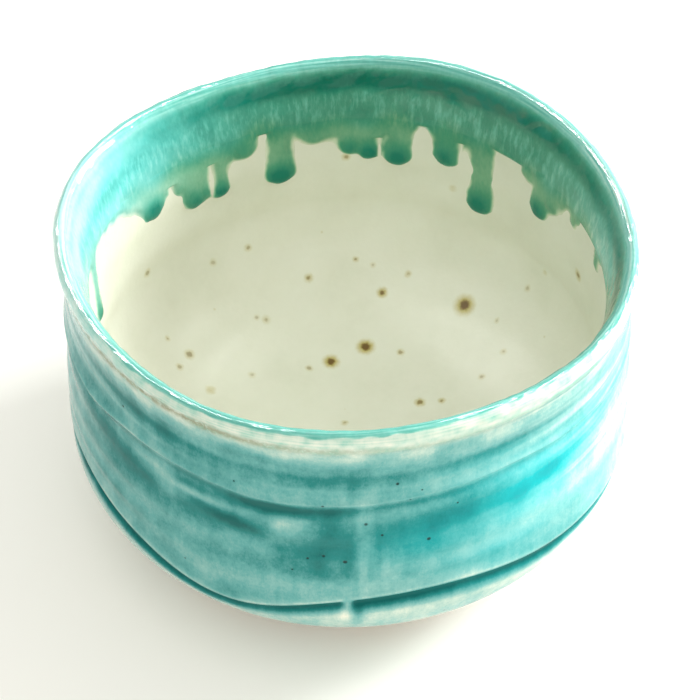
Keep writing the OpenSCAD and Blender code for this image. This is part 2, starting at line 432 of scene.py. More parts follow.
def on_wall(angle, z):
    """The point of the outside glaze at an angle and a height before the bowl's rise."""
    section = np.array([z - 0.1, z, z + 0.1])
    point = shaped(body_r(section), section, COAT_T, 1, np.array([float(angle)]))[1, 0]
    return Vector(point.tolist())


def turquoise_glaze():
    """The outside coat: its colour follows its thickness, from cream to deep teal."""
    g = Graph("turquoise_glaze")
    depth = g.field("depth")
    streaks = g.noise(2.2, 3.0, 0.6, (1, 1, 0.12))
    clouds = g.noise(9.0, 3.0, 0.55, (1, 1, 1.6), 3.0)
    mottle = g.noise(1.8, 5.0, 0.75, (1, 1, 0.8), 7.0)
    grain = g.noise(0.4, 2.0, 0.7, (1, 1, 0.6), 8.0)
    depth = g.math("MULTIPLY_ADD", streaks, 0.045, depth)
    depth = g.math("MULTIPLY_ADD", clouds, 0.08, depth)
    depth = g.math("MULTIPLY_ADD", mottle, 0.09, depth)
    depth = g.math("MULTIPLY_ADD", grain, 0.045, depth)
    calm = g.ramp(depth, [
        (0.0, srgb(230, 233, 216)),
        (0.16, srgb(188, 212, 199)),
        (0.34, srgb(136, 188, 181)),
        (0.5, srgb(99, 168, 164)),
        (0.72, srgb(36, 129, 125)),
        (1.0, srgb(0, 96, 92)),
    ])
    vivid = g.ramp(depth, [
        (0.0, srgb(228, 240, 232)),
        (0.16, srgb(176, 228, 224)),
        (0.34, srgb(124, 214, 214)),
        (0.55, srgb(76, 200, 202)),
        (0.8, srgb(0, 184, 188)),
        (1.0, srgb(0, 168, 174)),
    ])
    colour = thin_over_clay(g, g.blend(g.field("vivid"), calm, vivid))
    pits = g.dots(6.0, 0.25, 0.3, 11.0)
    where = g.place()
    for angle, z, radius in PITS:
        away = g.add(
            "ShaderNodeVectorMath", {0: where, 1: on_wall(angle, z)}, operation="DISTANCE"
        ).outputs["Value"]
        pits = g.math("MAXIMUM", pits, g.steps(away, radius, radius * 0.45))
    colour = g.blend(g.math("MULTIPLY", pits, 0.9), colour, srgb(8, 44, 40))
    rough = g.math("MULTIPLY_ADD", g.noise(3.0, 3.0), 0.03, 0.16)
    normal = g.bump(g.math("MULTIPLY", pits, -1.0), 0.8, 0.15, glaze_bump(g))
    return g.finish(colour, rough, normal, 0.14)


def rim_material(name, gloss):
    """The rim's coat: turquoise over the lip, teal and streaked under it, olive where thin."""
    g = Graph(name)
    depth = g.field("depth")
    streaks = g.noise(1.2, 3.0, 0.65, (1, 1, 0.22), 1.0)
    flecks = g.noise(0.8, 2.0, 0.6, (1, 1, 0.5), 3.0)
    drip = g.math("MULTIPLY", g.math("MAXIMUM", streaks, -0.15), g.field("streaky"))
    depth = g.math("MULTIPLY_ADD", drip, -0.24, depth)
    depth = g.math("MULTIPLY_ADD", flecks, 0.05, depth)
    teal = g.ramp(depth, [
        (0.0, srgb(228, 232, 216)),
        (0.15, srgb(200, 220, 204)),
        (0.32, srgb(142, 200, 182)),
        (0.52, srgb(96, 172, 150)),
        (0.74, srgb(60, 142, 116)),
        (1.0, srgb(12, 106, 84)),
    ])
    vivid = g.ramp(depth, [
        (0.0, srgb(230, 240, 232)),
        (0.2, srgb(200, 238, 236)),
        (0.5, srgb(142, 218, 216)),
        (0.75, srgb(102, 200, 196)),
        (1.0, srgb(24, 148, 140)),
    ])
    olive = g.ramp(depth, [
        (0.0, srgb(220, 222, 201)),
        (0.2, srgb(184, 202, 170)),
        (0.45, srgb(124, 172, 136)),
        (0.7, srgb(72, 146, 112)),
        (1.0, srgb(0, 126, 104)),
    ])
    colour = g.blend(g.field("olive"), g.blend(g.field("vivid"), teal, vivid), olive)
    colour = thin_over_clay(g, colour)
    pits = g.dots(6.0, 0.2, 0.3, 23.0)
    colour = g.blend(g.math("MULTIPLY", pits, 0.8), colour, srgb(40, 70, 52))
    normal = g.bump(g.math("MULTIPLY", pits, -1.0), 0.6, 0.12, glaze_bump(g))
    rough = g.math("MULTIPLY_ADD", g.noise(3.0, 3.0), 0.02, 0.1)
    return g.finish(colour, rough, normal, gloss)


# Iron specks in the liner: x, y and z in mm, radius of the dark middle, strength
SPECKS = [
    (4, 27, 15, 1.1, 1.0), (-4, 23, 14, 1.0, 1.0), (27, 34, 21, 1.3, 1.0),
    (8, 40, 20, 0.7, 0.9), (-9, 43, 22, 0.6, 0.6), (16, 10, 14, 0.7, 0.7),
    (-31, 12, 17, 0.7, 0.6), (-38, 16, 20, 0.5, 0.4), (-19, 33, 18, 0.6, 0.4),
    (12, 25, 15, 0.5, 0.5), (21, 10, 14, 0.5, 0.6), (30, 15, 17, 0.5, 0.4),
    (-9, 21, 14, 0.5, 0.4), (-1, 4, 14, 0.5, 0.5), (2, 47, 24, 0.4, 0.5),
    (6, 46, 23, 0.4, 0.3), (14, 43, 23, 0.5, 0.5), (35, 20, 20, 0.5, 0.4),
    (-36, 20, 20, 0.7, 0.5), (-41, 22, 23, 0.4, 0.4), (-23, 46, 29, 0.5, 0.4),
    (0, 54, 49, 0.6, 0.5), (24, 48, 44, 0.6, 0.4), (45, 30, 35, 0.5, 0.4),
    (51, 18, 45, 0.8, 0.6), (-45, 30, 36, 0.6, 0.4), (-21, 33, 19, 0.4, 0.3),
    (-31, 41, 29, 0.5, 0.3), (-22, 18, 15, 0.5, 0.3), (41, 31, 29, 0.5, 0.3),
    (34, 28, 22, 0.4, 0.3), (-14, -12, 14, 0.9, 0.9), (18, -21, 15, 0.6, 0.6),
    (-30, -18, 19, 0.5, 0.5), (6, -34, 18, 1.0, 0.8), (33, -8, 18, 0.4, 0.5),
    (-12, -38, 20, 0.5, 0.5), (10, -52, 33, 0.6, 0.5), (-36, -40, 38, 0.5, 0.5),
]


def cream_glaze():
    """The liner: warm cream with iron specks that have bled into it."""
    g = Graph("cream_glaze")
    clouds = g.noise(14.0, 3.0)
    mottle = g.noise(1.6, 3.0, 0.6, seed=4.0)
    tone = g.math("MULTIPLY_ADD", clouds, 0.14, 0.5)
    tone = g.math("MULTIPLY_ADD", mottle, 0.04, tone)
    colour = g.ramp(tone, [
        (0.2, srgb(212, 212, 192)),
        (0.5, srgb(224, 223, 206)),
        (0.8, srgb(231, 230, 216)),
    ])
    where = g.place()
    wobble = g.math("MULTIPLY", g.noise(0.9, 2.0, seed=9.0), 0.2)
    core = halo = None
    for x, y, z, radius, strength in SPECKS:
        away = g.add("ShaderNodeVectorMath", {0: where, 1: (x, y, z)}, operation="DISTANCE")
        away = g.math("ADD", away.outputs["Value"], wobble)
        near = g.steps(away, radius * 1.25, radius * 0.55)
        ring = g.steps(away, radius * 2.6, radius * 0.7)
        near, ring = g.math("MULTIPLY", near, strength), g.math("MULTIPLY", ring, strength)
        core = near if core is None else g.math("MAXIMUM", core, near)
        halo = ring if halo is None else g.math("MAXIMUM", halo, ring)
    dust = g.math("MULTIPLY", g.dots(5.0, 0.12, 0.5, 31.0), 0.3)
    halo = g.math("MAXIMUM", halo, dust)
    colour = g.blend(g.math("MULTIPLY", halo, 0.85), colour, srgb(176, 156, 0))
    colour = g.blend(core, colour, srgb(104, 76, 0))
    rough = g.math("MULTIPLY_ADD", g.noise(4.0, 2.0), 0.03, 0.42)
    return g.finish(colour, rough, glaze_bump(g, 0.3), 0.18)


def clay_material(name, seed, dark):
    """Bare stoneware: warm buff, gritty, with fine turning lines and iron grains."""
    g = Graph(name)
    clouds = g.noise(8.0, 4.0, 0.6, seed=seed)
    lines = g.noise(0.7, 2.0, 0.5, (0.15, 0.15, 1), seed + 1)
    grit = g.noise(0.35, 3.0, 0.7, seed=seed + 2)
    tone = g.math("MULTIPLY_ADD", clouds, 0.2, 0.5 - dark)
    tone = g.math("MULTIPLY_ADD", grit, 0.1, tone)
    colour = g.ramp(tone, [
        (0.0, srgb(122, 86, 58)),
        (0.5, srgb(178, 136, 96)),
        (1.0, srgb(208, 172, 130)),
    ])
    grains = g.dots(1.6, 0.12, 0.3, 40.0 + seed)
    colour = g.blend(g.math("MULTIPLY", grains, 0.7), colour, srgb(70, 44, 28))
    height = g.math("MULTIPLY_ADD", grit, 0.5, lines)
    rough = g.math("MULTIPLY_ADD", clouds, 0.04, 0.78)
    return g.finish(colour, rough, g.bump(height, 0.7, 0.12), 0.2)


# ---------------------------------------------------------------- outside coat

# How far the throwing ridge wanders up and down: angle, lift
RIDGE_PATH = [(0, -2.0), (60, 0.6), (130, -0.6), (180, -2.4), (204, -2.4), (222, -0.2), (238, 0),
              (254, -0.8), (269, -0.5), (287, 0), (303, 0.4), (322, -0.8), (340, -2.6), (360, -2.0)]
# Soft spots on the outside: angle, height, half width in degrees, half height, amount.
# POOLS are where the glaze is deep, THINS where it is thin and VIVIDS where it is bluest.
POOLS = [
    (255, 53.2, 7, 1.3, 0.48), (268, 53.4, 5, 1.3, 0.22), (238, 52.0, 10, 1.1, 0.16),
    (246.5, 47.6, 6.5, 1.9, 0.58), (251, 45.8, 4, 2.0, 0.24), (240.5, 48.8, 3, 1.2, 0.16),
    (211, 47.6, 6, 3.0, 0.26), (219, 47.4, 6, 2.8, 0.34), (226, 47.0, 4, 2.0, 0.2),
    (305, 46.8, 3.0, 2.6, 0.4), (313, 48.6, 5.0, 2.0, 0.44), (320, 50, 4, 1.4, 0.12),
    (293, 48.8, 9, 2.6, 0.24), (266, 46.5, 3.4, 8.0, 0.26),
    (269.6, 42.0, 1.4, 7.0, 0.2), (264.5, 39.5, 1.2, 4.0, 0.14), (260, 42.5, 4.0, 2.6, 0.14),
    (286, 44.0, 11, 4.2, 0.28), (271.5, 23.0, 1.2, 3.5, 0.3), (236, 36.0, 20, 6.0, 0.05),
    (232, 62.6, 20, 1.0, 0.1), (262, 61.5, 14, 1.4, 0.06), (300, 61.5, 16, 1.2, 0.08),
    (262, 35.0, 14, 3.0, 0.12), (20, 50.0, 22, 3.5, 0.3), (64, 47.0, 16, 4.0, 0.36),
    (110, 52.0, 20, 2.5, 0.32), (150, 46.0, 14, 4.5, 0.34), (170, 51.0, 8, 2.0, 0.28),
    (40, 36.0, 2, 9.0, 0.24), (128, 40.0, 1.6, 10.0, 0.26), (90, 62.0, 24, 1.5, 0.14),
    (346, 47.0, 9, 3.0, 0.04), (275.5, 44.0, 0.8, 5.0, 0.14), (281, 42.0, 0.9, 6.0, 0.1),
]
THINS = [
    (259, 50.0, 2.7, 1.6, 0.24), (256.4, 49.4, 1.2, 1.1, 0.14), (261.4, 50.8, 1.2, 0.9, 0.14),
    (272.8, 54.0, 1.3, 4.5, 0.12), (273.4, 46.5, 1.2, 4.0, 0.1), (272.4, 37.0, 0.8, 4.0, 0.17),
    (273.6, 31.0, 1.2, 2.4, 0.12), (271.8, 43.0, 0.5, 3.0, 0.1),
    (276.6, 38.0, 0.7, 4.0, 0.1), (269, 58.5, 0.9, 5.0, 0.06),
    (285, 33.0, 22, 6.0, 0.08), (250, 36.0, 9, 5.0, 0.08), (268.8, 23.6, 1.3, 2.6, 0.3),
    (336, 44.0, 20, 15.0, 0.34), (325, 60.0, 16, 3.0, 0.14), (239, 50.2, 8, 0.6, 0.2),
    (228, 51.6, 5, 1.1, 0.22), (231, 47.5, 4, 2.6, 0.12), (300, 41.0, 12, 2.4, 0.14),
    (292, 57.5, 14, 1.2, 0.1), (84, 42.0, 4, 2.0, 0.36), (10, 40.0, 2, 12.0, 0.14),
    (190, 38.0, 12, 5.0, 0.1),
]
VIVIDS = [
    (310, 48, 15, 8, 1.0), (332, 44, 18, 18, 0.5), (300, 34, 14, 9, 0.5), (298, 58, 14, 6, 0.3),
    (284, 44, 10, 6, 0.4), (60, 46, 20, 9, 0.5),
]


def over_ridge(z, a):
    """Height over the throwing ridge."""
    return z - RIDGE_Z - path(a, RIDGE_PATH)


def groove_there(a):
    """1 where the turned groove runs, and 0 in its gap."""
    return smooth(np.abs(turned(a, GAP_TURN)) / GAP_HALF)


def outside_marks(z, a):
    """Relief of the wheel's marks on the outside, for rows z at angles a."""
    above = over_ridge(z, a)
    ridge = np.where(above > 0, np.exp(-above / 1.7), np.exp(above / 0.55))
    strong = 0.55 + 0.35 * facing(a, 216, 20) + 0.08 * facing(a, 312, 16)
    valley = hump(above, -2.4, 1.3)
    second = hump(z, 49.8, 0.6) * facing(a, 241, 12)
    groove = np.exp(-np.abs((z - HIP_Z) / 1.05) ** 3) * groove_there(a)
    edge = hump(z, HIP_Z + 2.2, 0.7) * groove_there(a)
    rings = 0.1 * np.sin(2 * math.pi * (z / 6.3 + a / 360))
    fine = 0.02 * np.sin(2 * math.pi * (z / 2.1 + a / 360))
    return (
        strong * ridge - 0.28 * valley + 0.22 * second - 0.85 * groove + 0.14 * edge
        + (rings + fine) * smooth((z - 28) / 6) + 0.09 * swirl(a, z, 5, (1, 7), (9, 30)) - 0.15
    )


def outside_depth(z, a):
    """How deep the outside glaze looks, from 0 where it breaks to 1 where it pools."""
    above = over_ridge(z, a)
    depth = 0.55 + 0.06 * swirl(a, z, 21, (1, 9), (7, 26))
    depth = depth + 0.022 * swirl(a, z, 22, (20, 60), (12, 40))
    combed = facing(a, 328, 24) * smooth((z - 38) / 8)
    depth = depth + 0.06 * combed * swirl(a, z, 25, (1, 10), (1.4, 4.5))
    crisp = 0.1 + 0.22 * facing(a, 214, 16) - 0.08 * facing(a, 306, 24)
    depth = depth - crisp * np.exp(-np.abs(above + 0.05) / 0.4) + 0.2 * hump(above, -1.7, 1.0)
    depth = depth + 0.08 * hump(z, 62.4, 0.9) - 0.06 * hump(z, 59.4, 0.8)
    depth = depth - 0.07 * smooth((44 - z) / 14) + blobs(a, z, POOLS) - blobs(a, z, THINS)
    depth = depth + 0.62 * hump(z, HIP_Z - 0.1, 1.15) * groove_there(a)
    depth = depth - 0.22 * np.exp(-np.abs((z - HIP_Z - 2.1) / 0.5)) * groove_there(a)
    depth = depth - 0.27 * smooth((HIP_Z - 1.7 - z) / 2.0)
    low = 0.7 * swirl(a, 0.0, 23, (2, 14), (9, 20)) - 2.0 * facing(a, 312, 26)
    pale = 0.3 + 0.06 * swirl(a, z, 24, (4, 30), (6, 20))
    return depth - pale * smooth((z - 64.4 - low) / 4.6)


# How high the bare line runs under the lip: angle, height
BARE_PATH = [(0, 69.6), (150, 70.2), (205, 71.0), (240, 71.0), (257, 71.1), (270, 70.8),
             (285, 70.3), (310, 69.8), (360, 69.6)]


def bare_band(z, a):
    """Where the clay shows through in a thin line under the lip."""
    line = path(a, BARE_PATH) + 0.1 * swirl(a, 0.0, 31, (2, 11), (9, 20))
    strong = 0.25 + 0.75 * facing(a, 229, 38)
    wide = 0.92 + 0.14 * swirl(a, 0.0, 32, (12, 60), (9, 20))
    return strong * hump(z, line, np.maximum(wide, 0.4))


def grit(z, a):
    """Roughness of the line under the lip where glaze barely covers the clay."""
    rough = np.clip(swirl(a, z, 79, (60, 150), (1.2, 4)), -1.2, 0.4) - 0.4
    return 0.14 * bare_band(z, a) * rough


def outside_back(z):
    """Lift of the clay's own surface under the outside glaze, out of sight."""
    groove = 0.9 * hump(z, HIP_Z, 2.2)
    return -0.35 * smooth((z - 14) / 8) - groove * smooth((z - 20) / 3) - 0.02


def build_outside(material):
    cols = 512
    a = np.arange(cols) * 360 / cols
    z = np.concatenate([
        np.linspace(GLAZE_LINE_Z, 22, 26)[:-1],
        np.linspace(22, 29, 30)[:-1],
        np.linspace(29, 50, 34)[:-1],
        np.linspace(50, 60, 36)[:-1],
        np.linspace(60, 68, 16)[:-1],
        np.linspace(68, TAN_Z, 11),
    ])
    zz = z[:, None]
    roll = 1.2 + 0.5 * np.tanh(swirl(a, 0.0, 41, (2, 16), (9, 20)))
    edge = np.sqrt(clamp((zz - GLAZE_LINE_Z) / roll))
    lift = COAT_T * edge + outside_marks(zz, a) * smooth((zz - 14) / 8)
    lift = np.where(zz > 20, np.maximum(lift, -0.6), lift)
    lift = COAT_T + (lift - COAT_T) * smooth((TAN_Z - zz) / 3) + grit(zz, a)
    front = shaped(body_r(z), z, lift, 1, a)
    deep = np.linspace(GLAZE_LINE_Z, TAN_Z, 40)
    back = shaped(body_r(deep), deep, outside_back(deep[:, None]), 1, a)
    points, faces, ends = coat(front, back)
    fields = padded_fields(
        len(points), depth=outside_depth(zz, a), bare=bare_band(zz, a),
        vivid=clamp(blobs(a, zz, VIVIDS)) * (1 - 0.6 * hump(zz, HIP_Z, 1.6)),
    )
    return make_piece(
        "outside_glaze", points, faces, fields, material, ["outer_glaze"], ends
    )


# ---------------------------------------------------------------- rim coat and its runs

# Lower edge of the rim's coat between the runs: angle, height
EDGE = [
    (0, 60.5), (7, 60), (14, 61.5), (19, 61.5), (25, 58), (30, 55.5), (34, 55.5), (41, 58.5),
    (47, 62), (52, 60), (58, 57), (62, 56.2), (67, 56), (72, 58.8), (75.5, 56), (79, 55),
    (82, 53.6), (87, 53), (94, 54.8), (100, 55.4), (104, 57), (110, 60), (112.8, 57.6),
    (117, 57), (119.5, 54), (123, 50.5), (127, 49.5), (131, 50), (134, 51), (137, 53),
    (141, 53.5), (146, 53), (150, 55), (155, 57.5), (163, 58), (168, 58), (172, 56),
    (176, 59.5), (190, 58), (210, 56), (225, 58), (240, 56.5), (255, 58.5), (270, 56.5),
    (285, 58), (300, 57), (315, 59), (330, 60), (345, 61), (360, 60.5),
]
# Runs below that edge: angle, half width, height of the tip, size of the bead at the tip
RUNS = [
    (7.5, 1.6, 58.6, 0.1), (10, 1.6, 54.5, 0.2), (21.5, 1.4, 57.6, 0.1),
    (23.5, 1.3, 55.6, 0.1), (37, 3.2, 48.6, 1.0), (33, 2.6, 53.0, 0.3),
    (42, 2.0, 56.5, 0.0), (55.8, 3.9, 39.4, 1.0), (65.4, 3.3, 49.8, 1.0),
    (77.4, 3.4, 47.2, 1.0), (84.3, 2.7, 48.6, 1.0), (89.0, 2.6, 50.0, 0.5),
    (97, 3.6, 54.2, 0.1), (106.2, 3.8, 43.6, 1.0), (115.6, 3.2, 53.9, 0.3),
    (122.4, 2.7, 45.2, 1.0), (126.8, 2.4, 46.6, 0.5), (130.2, 3.0, 45.4, 0.8),
    (142.8, 3.6, 49.2, 1.0), (171, 2.4, 42.0, 0.6), (190, 2.6, 50, 0.9),
    (203, 3.3, 44, 1.0), (218, 2.8, 51, 0.8), (232, 3.4, 40, 1.0),
    (247, 2.6, 49, 0.8), (262, 3.2, 46, 1.0), (279, 2.8, 51, 0.8),
    (296, 3.4, 42, 1.0), (312, 2.6, 50, 0.7), (328, 3.0, 47, 1.0),
]
# Narrow bare slits that the glaze left between runs: angle, half width, lower end, upper end
SLITS = [
    (136.6, 0.45, 46.0, 55.5), (124.6, 0.35, 47.0, 56.0), (82.0, 0.25, 48.0, 55.0),
    (61.6, 0.45, 50.0, 57.5), (176, 0.9, 40, 60),
]
# How far, in mm, runs and edge blend into each other where they meet
WEB = 0.75


def run_shape(z, a):
    """How far inside the rim coat's outline each point is, in mm, and its share of bead and run."""
    edge = path(a, EDGE) + 0.2 * swirl(a, 0.0, 51, (40, 110), (9, 20))
    edge = edge + 0.2 * swirl(a, 0.0, 55, (12, 40), (9, 20))
    total = np.exp((z - edge) / WEB)
    bead = np.zeros(total.shape)
    lean = 0.25 * swirl(a, z, 52, (3, 12), (14, 40))
    rough = 0.07 * swirl(a, z, 53, (30, 110), (2, 6))
    for angle, half, tip, size in RUNS:
        across = turned(a, angle) * math.radians(1) * INSIDE_R + lean
        centre = tip + half
        down = np.maximum(centre - z, 0)
        neck = 1 - 0.2 * size
        width = half * (neck + (1 - neck) * hump(z, centre, 1.3 * half))
        width = width + 0.9 * np.exp(-np.maximum(edge + 0.5 - z, 0) / 2.2)
        reach = width - np.hypot(across, down)
        near = (np.abs(across) < 9) & (z < edge + 6)
        total += np.where(near, np.exp(np.clip(reach / WEB, -40, 40)), 0)
        spot = np.exp(-(np.hypot(across, (z - centre + 0.2 * half) * 0.95) / (0.95 * half)) ** 2)
        bead = np.maximum(bead, size * spot)
    inside = WEB * np.log(total) + rough
    for angle, half, low, high in SLITS:
        across = np.abs(turned(a, angle)) * math.radians(1) * INSIDE_R
        shut = half * smooth((high - z) / 4) * smooth((z - low + 1) / 2)
        inside = np.where(shut > 0, np.minimum(inside, (across - shut) * 1.2), inside)
    return inside, bead, smooth((edge + 0.5 - z) / 2)


def coat_lift(inside, bead):
    """Thickness of the glaze over the liner. Under 0 it dips into the liner, out of sight."""
    round_edge = np.sqrt(1 - (1 - clamp(inside / 2.4)) ** 2)
    thin_edge = smooth(inside / 3.2 + 0.12)
    body = 0.55 * (thin_edge + (round_edge - thin_edge) * clamp(bead * 1.6))
    return np.where(inside > 0, body * (1 + 0.7 * bead), -0.3 * clamp(-inside / 0.5))


# Soft spots on the rim coat inside, as on the outside: the first list is where it is bluest,
# and the second where it is lighter, or darker if the amount is under 0. The spots between
# about 150 and 190 degrees, the big cyan one among them, are partly painted light: mostly
# paler, bluer glaze where the window lights the inner left wall.
CYAN_SPOTS_AND_PAINTED_LIGHT = [(160, 66, 32, 13, 1.1), (205, 68, 20, 9, 0.5), (0, 66, 16, 8, 0.4)]
PALE_SPOTS_AND_PAINTED_LIGHT = [
    (165, 60, 20, 6, 0.2), (140, 57, 9, 4, 0.12), (20, 62, 18, 7, 0.22), (40, 58, 8, 4, 0.1),
    (178, 70, 22, 3.4, 0.4), (152, 70.5, 14, 2.2, 0.16), (6, 64, 12, 9, 0.14),
    (162, 65.4, 24, 2.0, -0.1), (186, 62, 9, 6, 0.26),
]


def band_fields(z, a, inside, bead, run):
    """Depth, olive tint and streakiness of the rim coat down the inside of the bowl."""
    # The dark band under the lip is left out round 165 degrees: partly painted light, where the
    # window lights the inner left wall.
    dark = 0.3 * (1 - 0.95 * facing(a, 165, 36))
    depth = 0.74 + dark * hump(z, 69.6, 2.1)
    depth = depth + 0.03 * swirl(a, z, 61, (1, 8), (7, 24))
    depth = depth - 0.34 * smooth((z - 71.4) / 2.2) - blobs(a, z, PALE_SPOTS_AND_PAINTED_LIGHT)
    depth = depth - 0.2 * smooth((60.5 - z) / 5) + 0.022 * swirl(a, z, 62, (6, 40), (6, 20))
    soft = smooth((inside + 0.2) / (2.0 - 0.7 * run - 0.5 * clamp(bead * 1.5)))
    depth = (depth + 0.5 * bead) * soft
    olive = smooth((63.5 - z + 1.2 * swirl(a, 0.0, 63, (4, 30), (9, 20))) / 6)
    # Less olive round 160 degrees: partly painted light, where the window lights the inner left
    # wall.
    olive = olive * (1 - 0.45 * clamp(bead)) * (1 - 0.8 * facing(a, 160, 26))
    return {
        "depth": depth, "olive": np.broadcast_to(olive, depth.shape),
        "streaky": np.broadcast_to(smooth((69 - z) / 2.5) * smooth((z - 57) / 5), depth.shape),
        "bare": np.zeros(depth.shape), "vivid": clamp(blobs(a, z, CYAN_SPOTS_AND_PAINTED_LIGHT)),
    }


def lip_relief(z, a):
    """Small lumps along the lip, and the softness of a rim dipped by hand."""
    lumps = 0.05 * swirl(a, 0.0, 71, (3, 24), (9, 20))
    lumps = lumps + 0.035 * swirl(a, z, 72, (30, 110), (3, 12))
    return np.clip(lumps - 0.13, -0.26, 0)


def rim_lift(z, around, a):
    """Lift of the rim coat's face, around being 0 outside the lip and 1 inside it."""
    inside = LINER_T * smooth((around - 0.7) / 0.3) + coat_lift(WELL_INSIDE, 0.0)
    inside = inside + 0.06 * smooth((72.5 - z) / 3) * swirl(a, z, 75, (6, 50), (4, 14))
    low = np.where(around < 0.5, smooth((z - TAN_Z) / 2), smooth((z - 68) / 4))
    over_lip = np.sin(math.pi * clamp(around)) ** 0.5
    wander = around * 7 + 0.35 * swirl(a, 0.0, 76, (2, 20), (9, 20))
    furrows = 0.03 * over_lip * (np.cos(2 * math.pi * wander) - 1)
    lift = COAT_T * (1 - around) + inside * around + lip_relief(z, a) * low + furrows
    return lift + grit(z, a) * (1 - smooth(around / 0.3)) - 0.03 * low


def rim_fields(z, around, a):
    """Colour fields of the rim coat: cream outside the lip, turquoise over it, teal inside."""
    fields = band_fields(z, a, WELL_INSIDE, 0.0, 0.0)
    outer = 0.15 + 0.12 * facing(a, 200, 30) + 0.045 * swirl(a, z, 73, (20, 120), (2, 9))
    outer = outer + 0.03 * swirl(a, z + 8 * around, 78, (2, 16), (0.6, 2.0))
    outer = outer + (outside_depth(z, a) - outer) * (1 - smooth((z - TAN_Z) / 1.6))
    blanch = 0.22 * facing(a, 12, 34) + 0.3 * facing(a, 182, 30)
    crest = 0.6 - blanch + 0.09 * swirl(a, around * 10, 74, (4, 24), (0.7, 2.4))
    crest = crest - 0.14 * hump(around, 0.62, 0.05)
    weight = smooth((around - 0.7) / 0.2) * smooth((74.2 - z) / 1.6)
    start = 0.22 + 0.14 * facing(a, 318, 30) - 0.08 * facing(a, 90, 60)
    start = start + 0.2 * facing(a, 192, 26) - 0.02 * swirl(a, 0.0, 77, (8, 90), (9, 20))
    over = smooth((around - start) / 0.08)
    fields["depth"] = (outer * (1 - over) + crest * over) * (1 - weight) + fields["depth"] * weight
    for key in ("olive", "streaky"):
        fields[key] = fields[key] * around
    fields["vivid"] = np.maximum(fields["vivid"], 0.35 * over * (1 - weight))
    fields["bare"] = bare_band(z, a) * (1 - smooth(around / 0.4))
    return fields


def build_rim(material):
    cols = 768
    a = np.arange(cols) * 360 / cols
    up = np.linspace(TAN_Z, LIP_Z, 12)[:-1]
    arc_r, arc_z = lip_arc(0, 180, 29)
    down = np.linspace(LIP_Z, SEAM_Z, 40)[1:]
    r = np.concatenate([body_r(up), arc_r, inner_r(down)])
    z = np.concatenate([up, arc_z, down])
    around = np.concatenate([np.zeros(len(up)), np.linspace(0, 1, len(arc_r)), np.ones(len(down))])
    around = around[:, None]
    front = shaped(r, z, rim_lift(z[:, None], around, a), 0, a)
    back = shaped(r[::4], z[::4], LINER_T * around[::4] - 0.06, 0, a)
    points, faces, ends = coat(front, back)
    fields = padded_fields(len(points), **rim_fields(z[:, None], around, a))
    return make_piece("rim_coat", points, faces, fields, material, ["rim_glaze"], ends)


def build_runs(material):
    """The coat's lower edge and its runs: only the cells of a fine grid that glaze reaches."""
    cols = 1280
    a = np.arange(cols) * 360 / cols
    z = np.arange(SEAM_Z + 1.0, 36.5, -0.3)
    zz = z[:, None]
    inside, bead, run = run_shape(zz, a)
    seam = WELL_INSIDE * smooth((zz - SEAM_Z + 1.5) / 1.5)
    inside = np.where(zz > SEAM_Z - 1.5, np.maximum(inside, seam), inside)
    under = -0.08 * smooth((zz - SEAM_Z) / 0.4)
    lift = LINER_T + coat_lift(inside, bead) + under
    front = shaped(inner_r(z), z, lift, 0, a)
    back = shaped(inner_r(z), z, np.minimum(lift - 0.03, LINER_T - 0.34), 0, a)
    quads = ring_quads(len(z), cols)
    quads = quads[(inside.ravel()[quads] > -0.55).any(axis=1)]
    used, packed = np.unique(quads, return_inverse=True)
    packed = packed.reshape(-1, 4)
    count = len(used)
    edges = np.concatenate([packed[:, [i, (i + 1) % 4]] for i in range(4)])
    keys = np.sort(edges, axis=1) @ [count, 1]
    _, first, times = np.unique(keys, return_index=True, return_counts=True)
    rim = edges[first[times == 1]]
    walls = np.stack([rim[:, 1], rim[:, 0], rim[:, 0] + count, rim[:, 1] + count], -1)
    faces = np.concatenate([packed, packed[:, ::-1] + count, walls])
    points = np.concatenate([front.reshape(-1, 3)[used], back.reshape(-1, 3)[used]])
    fields = band_fields(zz, a, inside, bead, run)
    fields = {key: values.ravel()[used] for key, values in fields.items()}
    fields = padded_fields(len(points), **fields)
    return make_piece(
        "glaze_runs", points, faces, fields, material, ["glaze_runs"], np.unique(rim)
    )


# ---------------------------------------------------------------- liner, clay and foot


def build_liner(material):
    cols = 384
    a = np.arange(cols) * 360 / cols
    r, z = inner_section(LIP_Z - 0.2, 0.8, 60)
    deep_r, deep_z = inner_section(LIP_Z - 0.2, 4.0, 14)
    rings = 0.07 * np.sin(2 * math.pi * z[:, None] / 9.5)
    waves = 0.06 * swirl(a, (r + z)[:, None], 81, (1, 6), (12, 40))
    lift = LINER_T + (rings + waves) * smooth((r[:, None] - 20) / 20)
    front = shaped(r, z, np.maximum(lift, 0.2), 0, a)
    back = shaped(deep_r, deep_z, 0.02, 0, a)
    points, faces, ends = coat(front, back)
    centre = np.arange((len(r) - 1) * cols, len(r) * cols)
    faces = faces[:-cols].tolist()
    faces += [centre.tolist(), np.arange(len(points) - cols, len(points))[::-1].tolist()]
    return make_piece(
        "liner_glaze", points, faces, {}, material, ["liner_glaze"],
        np.setdiff1d(ends, centre),
    )


